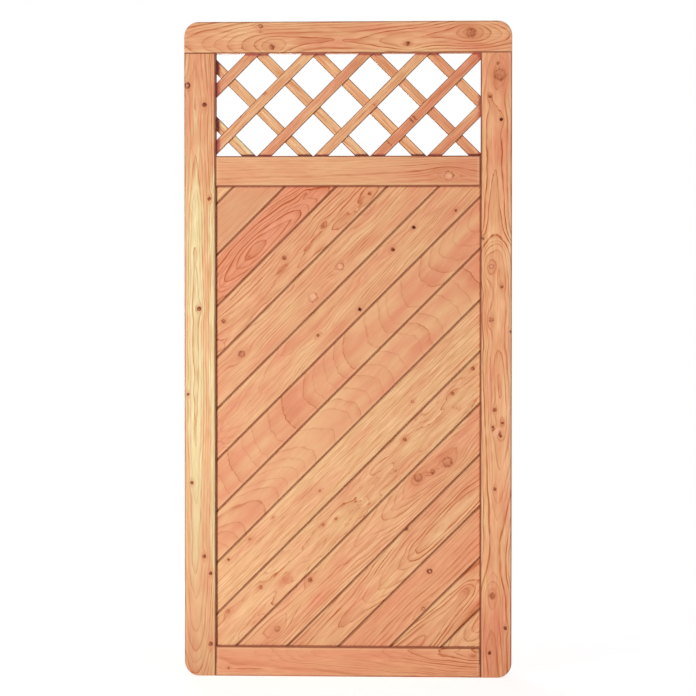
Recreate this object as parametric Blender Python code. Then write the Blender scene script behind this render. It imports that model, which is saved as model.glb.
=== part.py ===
"""Privacy fence panel in larch, 0.9 m wide and 1.8 m high.

Two stiles and three rails are grooved along their inner edges and joined by haunched tenons, which
stainless screws hold from the back. The grooves carry diagonal tongue-and-groove boards below the
middle rail, and two crossed layers of lattice slats above it.
Metres. X runs along the panel's width, -Y is its front and Z is up. The origin is the middle of its foot.
"""

import math

import bmesh
import bpy
from mathutils import Matrix, Vector

# The frame
PANEL_WIDTH = 0.900
PANEL_HEIGHT = 1.800
FRAME_THICKNESS = 0.045
STILE_WIDTH = 0.086
TOP_RAIL_HEIGHT = 0.087
MIDDLE_RAIL_HEIGHT = 0.083
BOTTOM_RAIL_HEIGHT = 0.082
LATTICE_HEIGHT = 0.281
CORNER_RADIUS = 0.040
ARRIS_RADIUS = 0.003

# How the pieces seat in each other
SEAT_GAP = 0.0003
GROOVE_DEPTH = 0.016
END_PLAY = 0.003
TENON_LENGTH = 0.045
MORTISE_PLAY = 0.002
HAUNCH_WIDTH = 0.020

# The diagonal boards
BOARD_THICKNESS = 0.019
BOARD_COVER = 0.100
BOARD_ANGLE = math.radians(45)
BOARD_SEAM_OFFSET = -0.0292
BOARD_CHAMFER = 0.0025
BOARD_JOINT_GAP = 0.0008
TONGUE_THICKNESS = 0.006
TONGUE_LENGTH = 0.009
TONGUE_NOSE = 0.001

# The lattice
SLAT_WIDTH = 0.028
SLAT_PITCH = 0.1104
SLAT_ANGLE = math.radians(45)
SLAT_CHAMFER = 0.001
FRONT_SLAT_OFFSET = -0.0465
BACK_SLAT_OFFSET = 0.0390
LEAST_SLAT_SHOWING = 0.004

# The screws through the tenons
SCREW_RADIUS = 0.0022
SCREW_HEAD_RADIUS = 0.0044
SCREW_HEAD_HEIGHT = 0.0026
SCREW_RIM = 0.0005
SCREW_POINT = 0.005
SCREW_TIP_COVER = 0.010
SCREW_SPACING = 0.026
RECESS_RADIUS = 0.0017
RECESS_LOBE = 0.0003
RECESS_LOBES = 6
RECESS_DEPTH = 0.0020

# Fineness of the curved faces, and how far a cutter runs past what it cuts
CORNER_STEPS = 8
ARRIS_STEPS = 3
SCREW_STEPS = 16
RECESS_STEPS = 24
OVERCUT = 0.010

# The timber's tones as sRGB out of 255
TONES = {
    "honey": (232, 177, 129),
    "pale": (235, 196, 146),
    "tan": (229, 165, 120),
    "rose": (225, 156, 117),
    "russet": (221, 147, 110),
}
BOARD_TONES = ("tan", "tan", "russet", "tan", "tan", "tan", "tan", "tan")
BOARD_TONES += ("honey", "honey", "tan", "rose", "rose", "rose", "rose")
SLAT_TONES = ("rose", "tan", "russet", "tan", "russet", "rose")
STEEL_TONE = (200, 199, 196)
PLANED_ROUGHNESS = 0.55
SAWN_ROUGHNESS = 0.65
STEEL_ROUGHNESS = 0.30

# Worked out from the sizes above
HALF_WIDTH = PANEL_WIDTH / 2
HALF_OPENING = HALF_WIDTH - STILE_WIDTH
HALF_THICKNESS = FRAME_THICKNESS / 2
GROOVE_WIDTH = BOARD_THICKNESS + 2 * SEAT_GAP
TENON_THICKNESS = GROOVE_WIDTH - 2 * SEAT_GAP
ENGAGEMENT = GROOVE_DEPTH - END_PLAY
SLAT_THICKNESS = (BOARD_THICKNESS - SEAT_GAP) / 2
TOP_RAIL_BASE = PANEL_HEIGHT - TOP_RAIL_HEIGHT
MIDDLE_RAIL_TOP = TOP_RAIL_BASE - LATTICE_HEIGHT
MIDDLE_RAIL_BASE = MIDDLE_RAIL_TOP - MIDDLE_RAIL_HEIGHT
SCREW_LENGTH = FRAME_THICKNESS - SCREW_TIP_COVER - SEAT_GAP
SCREW_SEAT = HALF_THICKNESS - SEAT_GAP
TENON_MIDDLE = (GROOVE_DEPTH + TENON_LENGTH) / 2

# Heights between which the rails' tenons run, and distances from the middle for the stiles' tenons
BOTTOM_TENON = (HAUNCH_WIDTH, BOTTOM_RAIL_HEIGHT - GROOVE_DEPTH)
MIDDLE_TENON = (MIDDLE_RAIL_BASE + GROOVE_DEPTH, MIDDLE_RAIL_TOP - GROOVE_DEPTH)
STILE_TENON = (HALF_OPENING + GROOVE_DEPTH, HALF_WIDTH - HAUNCH_WIDTH)


def linear(tone):
    """An sRGB tone out of 255 as the linear colour that a shader takes."""
    shares = [channel / 255 for channel in tone]
    return [s / 12.92 if s <= 0.04045 else ((s + 0.055) / 1.055) ** 2.4 for s in shares]


def surface(name, tone, roughness, metallic=0.0):
    """A piece's own plain finish."""
    made = bpy.data.materials.new(f"{name}_finish")
    made.use_nodes = True
    shader = made.node_tree.nodes["Principled BSDF"]
    shader.inputs["Base Color"].default_value = (*linear(tone), 1.0)
    shader.inputs["Roughness"].default_value = roughness
    shader.inputs["Metallic"].default_value = metallic
    return made


def finished_mesh(name, builder):
    """The builder's shape as a mesh, with its faces pointing out and one slot for a finish."""
    bmesh.ops.recalc_face_normals(builder, faces=builder.faces)
    mesh = bpy.data.meshes.new(name)
    builder.to_mesh(mesh)
    builder.free()
    mesh.materials.append(None)
    return mesh


def add_object(name, mesh, location=(0, 0, 0), turn=0.0, finish=None):
    """Places a mesh, turned from +X towards +Z. Copies share a mesh, so each carries its own finish."""
    made = bpy.data.objects.new(name, mesh)
    bpy.context.scene.collection.objects.link(made)
    made.location = location
    made.rotation_euler = (0, -turn, 0)
    made.material_slots[0].link = "OBJECT"
    made.material_slots[0].material = finish
    return made


def add_cutter(name, builder):
    """A helper shape that only cuts or trims other pieces."""
    made = add_object(name, finished_mesh(name, builder))
    made.hide_render = True
    made.display_type = "WIRE"
    return made


def apply_boolean(target, tool, operation):
    step = target.modifiers.new(tool.name, "BOOLEAN")
    step.operation = operation
    step.object = tool


def swept(points, path):
    """A closed ring of points swept along a straight path into a solid."""
    builder = bmesh.new()
    ring = builder.faces.new([builder.verts.new(point) for point in points])
    extruded = bmesh.ops.extrude_face_region(builder, geom=[ring])
    far_end = [part for part in extruded["geom"] if isinstance(part, bmesh.types.BMVert)]
    bmesh.ops.translate(builder, verts=far_end, vec=path)
    return builder


def prism(outline, thickness):
    """An XZ outline as a slab of the given thickness, centred on Y = 0."""
    return swept([(x, -thickness / 2, z) for x, z in outline], (0, thickness, 0))


def add_box(builder, x_range, y_range, z_range):
    """A box between the given limits, added to the builder."""
    ranges = (x_range, y_range, z_range)
    size = [abs(end - start) for start, end in ranges]
    middle = [(start + end) / 2 for start, end in ranges]
    place = Matrix.Translation(middle) @ Matrix.Diagonal((*size, 1))
    bmesh.ops.create_cube(builder, size=1, matrix=place)


def mirrored(outline):
    """The same outline on the other side of the panel's middle, still anticlockwise."""
    return [(-x, z) for x, z in reversed(outline)]


def quarter_arc(centre_x, centre_z, start):
    """A rounded corner of the panel, anticlockwise from the start angle as seen from the front."""
    angles = [start + math.pi / 2 * step / CORNER_STEPS for step in range(CORNER_STEPS + 1)]
    return [
        (centre_x + CORNER_RADIUS * math.cos(angle), centre_z + CORNER_RADIUS * math.sin(angle))
        for angle in angles
    ]


def frame_bar(name, outline, tone):
    """Planed timber of the frame's thickness, with its front and back arrises rounded over."""
    builder = prism(outline, FRAME_THICKNESS)
    arrises = [
        edge
        for edge in builder.edges
        if abs(edge.verts[0].co.y - edge.verts[1].co.y) < SEAT_GAP
    ]
    bmesh.ops.bevel(
        builder,
        geom=arrises,
        offset=ARRIS_RADIUS,
        segments=ARRIS_STEPS,
        profile=0.5,
        affect="EDGES",
    )
    finish = surface(name, TONES[tone], PLANED_ROUGHNESS)
    return add_object(name, finished_mesh(name, builder), finish=finish)


def cut_cheeks(bar, x_range, z_range):
    """Takes the wood before and behind a tenon off a bar's end."""
    builder = bmesh.new()
    outer = HALF_THICKNESS + OVERCUT
    for side in (-1, 1):
        add_box(builder, x_range, (side * TENON_THICKNESS / 2, side * outer), z_range)
    apply_boolean(bar, add_cutter(f"cheeks_of_{bar.name}", builder), "DIFFERENCE")


def cut_through(bar, x_range, z_range):
    """Takes a stretch of the bar away at its full thickness."""
    builder = bmesh.new()
    outer = HALF_THICKNESS + OVERCUT
    add_box(builder, x_range, (-outer, outer), z_range)
    apply_boolean(bar, add_cutter(f"haunch_of_{bar.name}", builder), "DIFFERENCE")


def cut_groove(bar, outline):
    """Cuts a groove, with any mortises in its floor, over the given outline."""
    groove = add_cutter(f"groove_of_{bar.name}", prism(outline, GROOVE_WIDTH))
    apply_boolean(bar, groove, "DIFFERENCE")


def stile_groove(side):
    """Outline of a stile's groove, stepping down into the mortises of the two rails that it holds."""
    open_side = OVERCUT - HALF_OPENING
    floor = -(HALF_OPENING + GROOVE_DEPTH)
    mortise_floor = -(HALF_OPENING + TENON_LENGTH + MORTISE_PLAY)
    top = PANEL_HEIGHT + OVERCUT
    outline = [(open_side, -OVERCUT), (open_side, top), (floor, top)]
    for low, high in (MIDDLE_TENON, BOTTOM_TENON):
        outline.append((floor, high + SEAT_GAP))
        outline.append((mortise_floor, high + SEAT_GAP))
        outline.append((mortise_floor, low - SEAT_GAP))
        outline.append((floor, low - SEAT_GAP))
    outline.append((floor, -OVERCUT))
    return mirrored(outline) if side > 0 else outline


def top_rail_groove():
    """Outline of the top rail's groove, with the mortises for the two stiles' tenons."""
    end = HALF_WIDTH + OVERCUT
    floor = TOP_RAIL_BASE + GROOVE_DEPTH
    mortise_floor = TOP_RAIL_BASE + TENON_LENGTH + MORTISE_PLAY
    inner, outer = STILE_TENON
    right_half = [
        (end, TOP_RAIL_BASE - OVERCUT),
        (end, floor),
        (outer + SEAT_GAP, floor),
        (outer + SEAT_GAP, mortise_floor),
        (inner - SEAT_GAP, mortise_floor),
        (inner - SEAT_GAP, floor),
    ]
    return right_half + mirrored(right_half)


def straight_groove(edge, depth_way):
    """Outline of a plain groove along a rail's edge, cut upwards (1) or downwards (-1) into it."""
    end = HALF_OPENING + TENON_LENGTH + OVERCUT
    low, high = sorted((edge - depth_way * OVERCUT, edge + depth_way * GROOVE_DEPTH))
    return [(-end, low), (end, low), (end, high), (-end, high)]


def add_stile(side, name, tone, holes):
    """An upright, with a rounded foot, and a haunched tenon that fills the top rail's groove."""
    tenon_top = TOP_RAIL_BASE + TENON_LENGTH
    above = tenon_top + OVERCUT
    foot = quarter_arc(CORNER_RADIUS - HALF_WIDTH, CORNER_RADIUS, math.pi)
    outline = foot + [(-HALF_OPENING, 0), (-HALF_OPENING, tenon_top), (-HALF_WIDTH, tenon_top)]
    stile = frame_bar(name, mirrored(outline) if side > 0 else outline, tone)
    inside = side * (HALF_OPENING - OVERCUT)
    outside = side * (HALF_WIDTH + OVERCUT)
    cut_cheeks(stile, (inside, outside), (TOP_RAIL_BASE - SEAT_GAP, above))
    haunch_edge = side * (HALF_WIDTH - HAUNCH_WIDTH)
    cut_through(stile, (haunch_edge, outside), (TOP_RAIL_BASE + GROOVE_DEPTH - SEAT_GAP, above))
    cut_groove(stile, stile_groove(side))
    apply_boolean(stile, holes, "DIFFERENCE")


def add_top_rail(tone, holes):
    """Runs over both stiles and rounds off the panel's upper corners."""
    arc_x = HALF_WIDTH - CORNER_RADIUS
    arc_z = PANEL_HEIGHT - CORNER_RADIUS
    outline = [(-HALF_WIDTH, TOP_RAIL_BASE), (HALF_WIDTH, TOP_RAIL_BASE)]
    outline += quarter_arc(arc_x, arc_z, 0)
    outline += quarter_arc(-arc_x, arc_z, math.pi / 2)
    rail = frame_bar("top_rail", outline, tone)
    cut_groove(rail, top_rail_groove())
    apply_boolean(rail, holes, "DIFFERENCE")


def add_rail_between(name, base, top, tone, holes):
    """A rail between the stiles, its blank as long as the tenons on its two ends."""
    end = HALF_OPENING + TENON_LENGTH
    rail = frame_bar(name, [(-end, base), (end, base), (end, top), (-end, top)], tone)
    shoulder = HALF_OPENING - SEAT_GAP
    for side in (-1, 1):
        cut_cheeks(rail, (side * shoulder, side * (end + OVERCUT)), (base - OVERCUT, top + OVERCUT))
    cut_groove(rail, straight_groove(top, -1))
    apply_boolean(rail, holes, "DIFFERENCE")
    return rail


def add_middle_rail(tone, holes):
    """Grooved along both edges, for the boards below it and the slats above it."""
    rail = add_rail_between("middle_rail", MIDDLE_RAIL_BASE, MIDDLE_RAIL_TOP, tone, holes)
    cut_groove(rail, straight_groove(MIDDLE_RAIL_BASE, 1))


def add_bottom_rail(tone, holes):
    """Level with the stiles' feet. Its haunches fill the stiles' grooves down to the ground."""
    rail = add_rail_between("bottom_rail", 0, BOTTOM_RAIL_HEIGHT, tone, holes)
    haunch_end = HALF_OPENING + GROOVE_DEPTH - SEAT_GAP
    past_tenon = HALF_OPENING + TENON_LENGTH + OVERCUT
    for side in (-1, 1):
        cut_through(rail, (side * haunch_end, side * past_tenon), (-OVERCUT, HAUNCH_WIDTH))


def board_profile():
    """A board across its cover: distance up from its lower shoulder, and Y."""
    face = BOARD_THICKNESS / 2
    tongue = TONGUE_THICKNESS / 2
    slot = tongue + SEAT_GAP
    slot_floor = TONGUE_LENGTH + BOARD_JOINT_GAP
    shoulder = BOARD_COVER - BOARD_JOINT_GAP
    tip = shoulder + TONGUE_LENGTH
    front = [
        (slot_floor, -slot),
        (0, -slot),
        (0, BOARD_CHAMFER - face),
        (BOARD_CHAMFER, -face),
        (shoulder - BOARD_CHAMFER, -face),
        (shoulder, BOARD_CHAMFER - face),
        (shoulder, -tongue),
        (tip - TONGUE_NOSE, -tongue),
        (tip, TONGUE_NOSE - tongue),
    ]
    return front + [(across, -y) for across, y in reversed(front)]


def slat_profile(inner, outer):
    """A slat across its width, between two distances from the lattice's middle, its edges eased."""
    half = SLAT_WIDTH / 2
    ease = math.copysign(SLAT_CHAMFER, outer - inner)
    upper = [
        (half - SLAT_CHAMFER, inner),
        (half, inner + ease),
        (half, outer - ease),
        (half - SLAT_CHAMFER, outer),
    ]
    return upper + [(-across, y) for across, y in reversed(upper)]


def stick_mesh(name, profile):
    """Stock of the given profile, longer than any diagonal of the panel, along its own X."""
    half_length = PANEL_WIDTH + PANEL_HEIGHT
    ring = [(-half_length, y, across) for across, y in profile]
    return finished_mesh(name, swept(ring, (2 * half_length, 0, 0)))


def trim_box(name, base, top):
    """The room that an opening and the grooves around it leave for what fills it."""
    reach = HALF_OPENING + ENGAGEMENT
    builder = bmesh.new()
    depth = (-HALF_THICKNESS, HALF_THICKNESS)
    add_box(builder, (-reach, reach), depth, (base - ENGAGEMENT, top + ENGAGEMENT))
    return add_cutter(name, builder)


def across_reach(angle, base, top):
    """How far an opening's farthest corner lies from its middle, measured across the sticks."""
    return abs(math.sin(angle)) * HALF_OPENING + abs(math.cos(angle)) * (top - base) / 2


def add_stick(name, mesh, angle, shift, middle, trim, finish):
    """Lays stock at an angle, shifted sideways from an opening's middle, and trims it to length."""
    across = Vector((-math.sin(angle), 0, math.cos(angle)))
    stick = add_object(name, mesh, middle + shift * across, angle, finish)
    apply_boolean(stick, trim, "INTERSECT")


def add_infill_boards():
    """Boards rising to the right with their tongues up, numbered from the upper left corner."""
    base, top = BOTTOM_RAIL_HEIGHT, MIDDLE_RAIL_BASE
    middle = Vector((0, 0, (base + top) / 2))
    trim = trim_box("board_trim", base, top)
    stock = stick_mesh("board_stock", board_profile())
    reach = across_reach(BOARD_ANGLE, base, top)
    highest = math.ceil((reach - BOARD_SEAM_OFFSET) / BOARD_COVER) - 1
    lowest = math.floor((-reach - BOARD_SEAM_OFFSET) / BOARD_COVER)
    for number, step in enumerate(range(highest, lowest - 1, -1), start=1):
        name = f"infill_board_{number:02d}"
        tone = TONES[BOARD_TONES[(number - 1) % len(BOARD_TONES)]]
        finish = surface(name, tone, PLANED_ROUGHNESS)
        shift = BOARD_SEAM_OFFSET + step * BOARD_COVER
        add_stick(name, stock, BOARD_ANGLE, shift, middle, trim, finish)


def add_slat_layer(word, angle, offset, side, trim):
    """One layer of parallel slats on the given side of the lattice's middle, from left to right."""
    base, top = MIDDLE_RAIL_TOP, TOP_RAIL_BASE
    middle = Vector((0, 0, (base + top) / 2))
    inner = side * SEAT_GAP / 2
    stock = stick_mesh(f"{word}_slat_stock", slat_profile(inner, inner + side * SLAT_THICKNESS))
    reach = across_reach(angle, base, top) + SLAT_WIDTH / 2 - LEAST_SLAT_SHOWING
    first = math.ceil((-reach - offset) / SLAT_PITCH)
    last = math.floor((reach - offset) / SLAT_PITCH)
    from_left = range(last, first - 1, -1) if angle > 0 else range(first, last + 1)
    for number, step in enumerate(from_left, start=1):
        name = f"{word}_slat_{number}"
        tone = TONES[SLAT_TONES[(number - 1) % len(SLAT_TONES)]]
        finish = surface(name, tone, SAWN_ROUGHNESS)
        add_stick(name, stock, angle, offset + step * SLAT_PITCH, middle, trim, finish)


def add_lattice():
    """Front slats rise to the right and back slats fall, both layers in the same groove."""
    trim = trim_box("slat_trim", MIDDLE_RAIL_TOP, TOP_RAIL_BASE)
    add_slat_layer("front", SLAT_ANGLE, FRONT_SLAT_OFFSET, -1, trim)
    add_slat_layer("back", -SLAT_ANGLE, BACK_SLAT_OFFSET, 1, trim)


def screw_places():
    """X and Z of each screw, by name: two through every tenon, beside each other across the grain."""
    places = {}
    for side, word in ((-1, "left"), (1, "right")):
        rail_x = side * (HALF_OPENING + TENON_MIDDLE)
        stile_x = side * sum(STILE_TENON) / 2
        for number, shift in ((1, -SCREW_SPACING / 2), (2, SCREW_SPACING / 2)):
            places[f"screw_top_{word}_{number}"] = (stile_x + shift, TOP_RAIL_BASE + TENON_MIDDLE)
            places[f"screw_middle_{word}_{number}"] = (rail_x, sum(MIDDLE_TENON) / 2 + shift)
            places[f"screw_bottom_{word}_{number}"] = (rail_x, sum(BOTTOM_TENON) / 2 + shift)
    return places


def screw_profile(clearance, mouth):
    """Radius and Y of a countersunk screw from its point to the middle of its head, or of its hole."""
    shank = SCREW_RADIUS + clearance
    head = SCREW_HEAD_RADIUS + clearance
    return [
        (0, -SCREW_LENGTH - clearance),
        (shank, SCREW_POINT - SCREW_LENGTH),
        (shank, -SCREW_RIM - SCREW_HEAD_HEIGHT),
        (head, -SCREW_RIM),
        (head, mouth),
        (0, mouth),
    ]


def add_turned(builder, profile, x, z):
    """Turns a profile round a line along Y, with the screws' seat at its Y = 0."""
    points = [builder.verts.new((x + radius, SCREW_SEAT + y, z)) for radius, y in profile]
    edges = [builder.edges.new(pair) for pair in zip(points, points[1:])]
    turn = {"cent": (x, 0, z), "axis": (0, 1, 0), "angle": 2 * math.pi, "steps": SCREW_STEPS}
    bmesh.ops.spin(builder, geom=points + edges, **turn)
    bmesh.ops.remove_doubles(builder, verts=builder.verts, dist=SEAT_GAP / 10)


def screw_holes(places):
    """Every bored and countersunk hole as one cutter, open at the frame's back face."""
    builder = bmesh.new()
    profile = screw_profile(SEAT_GAP, OVERCUT)
    for x, z in places.values():
        add_turned(builder, profile, x, z)
    return add_cutter("screw_holes", builder)


def star_recess():
    """The lobed driver socket in a screw's head."""
    outline = []
    for step in range(RECESS_STEPS):
        angle = 2 * math.pi * step / RECESS_STEPS
        radius = RECESS_RADIUS + RECESS_LOBE * math.cos(RECESS_LOBES * angle)
        outline.append((radius * math.cos(angle), radius * math.sin(angle)))
    builder = prism(outline, 2 * RECESS_DEPTH)
    bmesh.ops.translate(builder, verts=builder.verts, vec=(0, SCREW_SEAT, 0))
    return builder


def screw_mesh():
    """A countersunk stainless screw with its recess cut, its head just below the back face."""
    builder = bmesh.new()
    add_turned(builder, screw_profile(0, 0), 0, 0)
    blank = add_object("screw_blank", finished_mesh("screw_blank", builder))
    apply_boolean(blank, add_cutter("screw_recess", star_recess()), "DIFFERENCE")
    bpy.context.view_layer.update()
    cut = blank.evaluated_get(bpy.context.evaluated_depsgraph_get())
    mesh = bpy.data.meshes.new_from_object(cut)
    bpy.data.objects.remove(blank)
    mesh.name = "screw"
    mesh.shade_smooth()
    mesh.set_sharp_from_angle(angle=math.radians(35))
    return mesh


def add_screws(places):
    """Each screw is its own object, and all of them share one mesh."""
    mesh = screw_mesh()
    for name, (x, z) in places.items():
        finish = surface(name, STEEL_TONE, STEEL_ROUGHNESS, metallic=1.0)
        add_object(name, mesh, (x, 0, z), finish=finish)


def main():
    for old in list(bpy.data.objects):
        bpy.data.objects.remove(old)
    places = screw_places()
    holes = screw_holes(places)
    add_stile(-1, "left_stile", "pale", holes)
    add_stile(1, "right_stile", "rose", holes)
    add_top_rail("tan", holes)
    add_middle_rail("tan", holes)
    add_bottom_rail("rose", holes)
    add_infill_boards()
    add_lattice()
    add_screws(places)


main()
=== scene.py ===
import math
from functools import partial

import bmesh
import bpy
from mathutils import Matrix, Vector


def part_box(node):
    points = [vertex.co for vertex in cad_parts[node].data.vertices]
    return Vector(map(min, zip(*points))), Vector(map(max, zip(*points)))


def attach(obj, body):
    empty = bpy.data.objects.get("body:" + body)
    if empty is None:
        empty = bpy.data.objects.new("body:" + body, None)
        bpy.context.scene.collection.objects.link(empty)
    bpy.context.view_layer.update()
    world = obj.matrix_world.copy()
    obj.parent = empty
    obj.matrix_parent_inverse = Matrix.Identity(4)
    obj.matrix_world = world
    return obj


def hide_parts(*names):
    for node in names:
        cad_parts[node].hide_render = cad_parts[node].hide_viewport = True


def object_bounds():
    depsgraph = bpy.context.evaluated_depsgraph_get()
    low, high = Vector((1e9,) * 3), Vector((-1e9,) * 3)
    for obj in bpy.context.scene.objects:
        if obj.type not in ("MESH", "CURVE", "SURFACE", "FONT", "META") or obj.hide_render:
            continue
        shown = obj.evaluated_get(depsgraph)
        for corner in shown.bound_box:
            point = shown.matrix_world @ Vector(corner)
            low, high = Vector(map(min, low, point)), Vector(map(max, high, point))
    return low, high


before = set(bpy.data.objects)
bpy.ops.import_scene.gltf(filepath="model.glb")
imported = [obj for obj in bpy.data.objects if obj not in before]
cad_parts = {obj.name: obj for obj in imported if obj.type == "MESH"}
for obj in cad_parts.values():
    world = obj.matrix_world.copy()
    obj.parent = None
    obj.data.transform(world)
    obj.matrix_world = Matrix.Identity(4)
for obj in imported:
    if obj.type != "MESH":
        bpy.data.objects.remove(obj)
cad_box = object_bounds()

root = "root"

# The room: a pale floor and a white surround. One lamp stands low on the left, so that the left
# stile shades what lies in its reveal, a broader and weaker one high on the right, one behind.
panel_top = cad_box[1][2]
panel_front = cad_box[0][1]
picture_width = 1.9105
lens = 150
film_width = 36
view_turn = math.radians(3.2)
view_drop = math.radians(1.3)
aim = Vector((0.001, panel_front, panel_top / 2 + 0.005))
scene = bpy.context.scene
scene.view_settings.view_transform = "Standard"

eye = bpy.data.cameras.new("camera")
eye.lens = lens
eye.sensor_width = film_width
camera = bpy.data.objects.new("camera", eye)
reach = picture_width * lens / film_width
camera.location = aim + reach * Vector((math.sin(view_turn) * math.cos(view_drop),
                                        -math.cos(view_turn) * math.cos(view_drop), math.sin(view_drop)))
camera.rotation_euler = (math.radians(90) - view_drop, 0, view_turn)
scene.collection.objects.link(camera)
scene.camera = camera


def add_lamp(name, place, target, size, power, colour):
    """A square soft box turned towards a point of the panel."""
    light = bpy.data.lights.new(name, "AREA")
    light.size = size
    light.energy = power
    light.color = colour
    lamp = bpy.data.objects.new(name, light)
    lamp.location = place
    lamp.rotation_euler = (Vector(target) - Vector(place)).to_track_quat("-Z", "Y").to_euler()
    scene.collection.objects.link(lamp)


add_lamp("key_lamp", place=(-2.3, -4.6, 0.25), target=(0, 0, 0.9), size=0.9, power=193,
         colour=(1.0, 1.0, 0.99))
add_lamp("fill_lamp", place=(2.6, -4.4, 3.0), target=(0, 0, 1.1), size=2.4, power=35,
         colour=(1.0, 0.985, 1.0))
add_lamp("back_lamp", place=(-1.3, 4.8, 0.9), target=(0, 0, 0.9), size=1.6, power=120,
         colour=(1.0, 1.0, 1.0))


def fitted(tree, kind, inputs=(), **settings):
    """A new node with its settings made, and its inputs given numbers, colours or links."""
    made = tree.nodes.new(kind)
    for word, value in settings.items():
        setattr(made, word, value)
    pairs = inputs.items() if isinstance(inputs, dict) else enumerate(inputs)
    for key, value in pairs:
        if isinstance(value, bpy.types.NodeSocket):
            tree.links.new(value, made.inputs[key])
        elif value is not None:
            made.inputs[key].default_value = value
    return made


def tree_of(values):
    """The node tree that the links among some inputs come from."""
    return next(value.id_data for value in values if isinstance(value, bpy.types.NodeSocket))


def calc(operation, *values):
    """A sum on numbers that change over the surface."""
    return fitted(tree_of(values), "ShaderNodeMath", values, operation=operation).outputs[0]


plus = partial(calc, "ADD")
minus = partial(calc, "SUBTRACT")
times = partial(calc, "MULTIPLY")
times_plus = partial(calc, "MULTIPLY_ADD")
over = partial(calc, "DIVIDE")


def seen_or_mirrored(tree):
    """1 for what the camera sees straight or in a gloss, 0 for light that falls on the panel."""
    path = fitted(tree, "ShaderNodeLightPath").outputs
    gloss = calc("MAXIMUM", path["Is Glossy Ray"], path["Is Transmission Ray"])
    return calc("MAXIMUM", path["Is Camera Ray"], gloss)


def blank_material(name):
    """A new material and its node tree, still empty."""
    material = bpy.data.materials.new(name)
    material.use_nodes = True
    material.node_tree.nodes.clear()
    return material, material.node_tree


air_strength = 0.227
world = bpy.data.worlds.new("white_surround")
world.use_nodes = True
sky = world.node_tree
sky.nodes.clear()
air = fitted(sky, "ShaderNodeBackground", {"Color": (1.0, 0.95, 1.0, 1), "Strength": air_strength})
white = fitted(sky, "ShaderNodeBackground", {"Color": (1, 1, 1, 1), "Strength": 1.0})
shown = fitted(sky, "ShaderNodeMixShader", (seen_or_mirrored(sky), air.outputs[0], white.outputs[0]))
fitted(sky, "ShaderNodeOutputWorld", {"Surface": shown.outputs[0]})
scene.world = world

floor_radius = 2.6
floor_sides = 96
floor_grey = 0.82
floor_glow = 0.7
rim = bmesh.new()
bmesh.ops.create_circle(rim, cap_ends=True, radius=floor_radius, segments=floor_sides)
disc = bpy.data.meshes.new("floor")
rim.to_mesh(disc)
rim.free()
floor = bpy.data.objects.new("floor", disc)
scene.collection.objects.link(floor)
paint, coat = blank_material("pale_floor")
matt = fitted(coat, "ShaderNodeBsdfDiffuse", {"Color": (floor_grey, floor_grey, floor_grey, 1)})
glow = fitted(coat, "ShaderNodeEmission", {"Color": (1, 1, 1, 1), "Strength": floor_glow})
lifted = fitted(coat, "ShaderNodeAddShader", (matt.outputs[0], glow.outputs[0]))
either = fitted(coat, "ShaderNodeMixShader", (seen_or_mirrored(coat), matt.outputs[0], lifted.outputs[0]))
fitted(coat, "ShaderNodeOutputMaterial", {"Surface": either.outputs[0]})
disc.materials.append(paint)

# The frame: two stiles and three rails of planed larch, 45 mm thick with rounded arrises, held
# by haunched tenons. The left stile is pale sapwood, the right one and the bottom rail run redder.


def tone(red, green, blue):
    """A tone given as sRGB out of 255, as the linear colour that a shader takes."""
    parts = []
    for part in (red / 255, green / 255, blue / 255):
        parts.append(part / 12.92 if part <= 0.04045 else ((part + 0.055) / 1.055) ** 2.4)
    return (*parts, 1)


honey = tone(237, 184, 131)
salmon = tone(228, 148, 109)
sapwood = tone(240, 217, 160)
latewood = tone(187, 92, 41)
shaded_streak = (0.82, 0.68, 0.56, 1)
creamy_streak = (1.15, 1.31, 1.51, 1)
knot_red = tone(152, 62, 18)
knot_black = tone(78, 12, 0)
knot_halo = tone(214, 134, 92)
knot_cream = tone(242, 182, 143)
# The seam stain also paints shade along arrises and in groove corners.
seam_stain_and_shade = tone(132, 68, 50)
# A wine-red painted shadow for the lattice, where the left stile shades the slats.
wine_painted_shadow = tone(168, 76, 74)

knot_words = ("Shift", "Bulge", "Hold", "Slope Along", "Slope Across", "Core", "Halo", "Rim", "Spoke",
              "Dark", "Pale")


def node_group(name, kind, inputs, outputs):
    """An empty node tree with its sockets, listed by their kinds, and its two ends."""
    tree = bpy.data.node_groups.new(name, f"{kind}NodeTree")
    for way, sockets in (("INPUT", inputs), ("OUTPUT", outputs)):
        for socket, words in sockets.items():
            for word in words:
                tree.interface.new_socket(word, in_out=way, socket_type=f"NodeSocket{socket}")
    return tree, tree.nodes.new("NodeGroupInput").outputs, tree.nodes.new("NodeGroupOutput").inputs


def vector_calc(operation, *values):
    """A sum on vectors or colours."""
    return fitted(tree_of(values), "ShaderNodeVectorMath", values, operation=operation).outputs[0]


def scaled(vector, scale):
    """A vector or a colour times a number."""
    return vector_calc("SCALE", vector, None, None, scale)


def parts_of(vector):
    """A vector's X, Y and Z."""
    return fitted(vector.id_data, "ShaderNodeSeparateXYZ", (vector,)).outputs


def clamped(value, low=0.0, high=1.0):
    """A number kept between two others."""
    return fitted(value.id_data, "ShaderNodeClamp", (value, low, high)).outputs[0]


def ramp(value, low, high, foot=0.0, head=1.0):
    """A smooth step from foot to head while the value goes from low to high."""
    inputs = {"Value": value, "From Min": low, "From Max": high, "To Min": foot, "To Max": head}
    return fitted(value.id_data, "ShaderNodeMapRange", inputs, interpolation_type="SMOOTHSTEP").outputs[0]


def blended(share, first, second, way="MIX"):
    """Two colours mixed by a share."""
    values = {0: share, 6: first, 7: second}
    tree = tree_of(values.values())
    return fitted(tree, "ShaderNodeMix", values, data_type="RGBA", blend_type=way).outputs[2]


def blended_value(share, first, second):
    """Two numbers mixed by a share."""
    values = (share, None, first, second)
    return fitted(share.id_data, "ShaderNodeMix", values, data_type="FLOAT").outputs[0]


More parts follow.
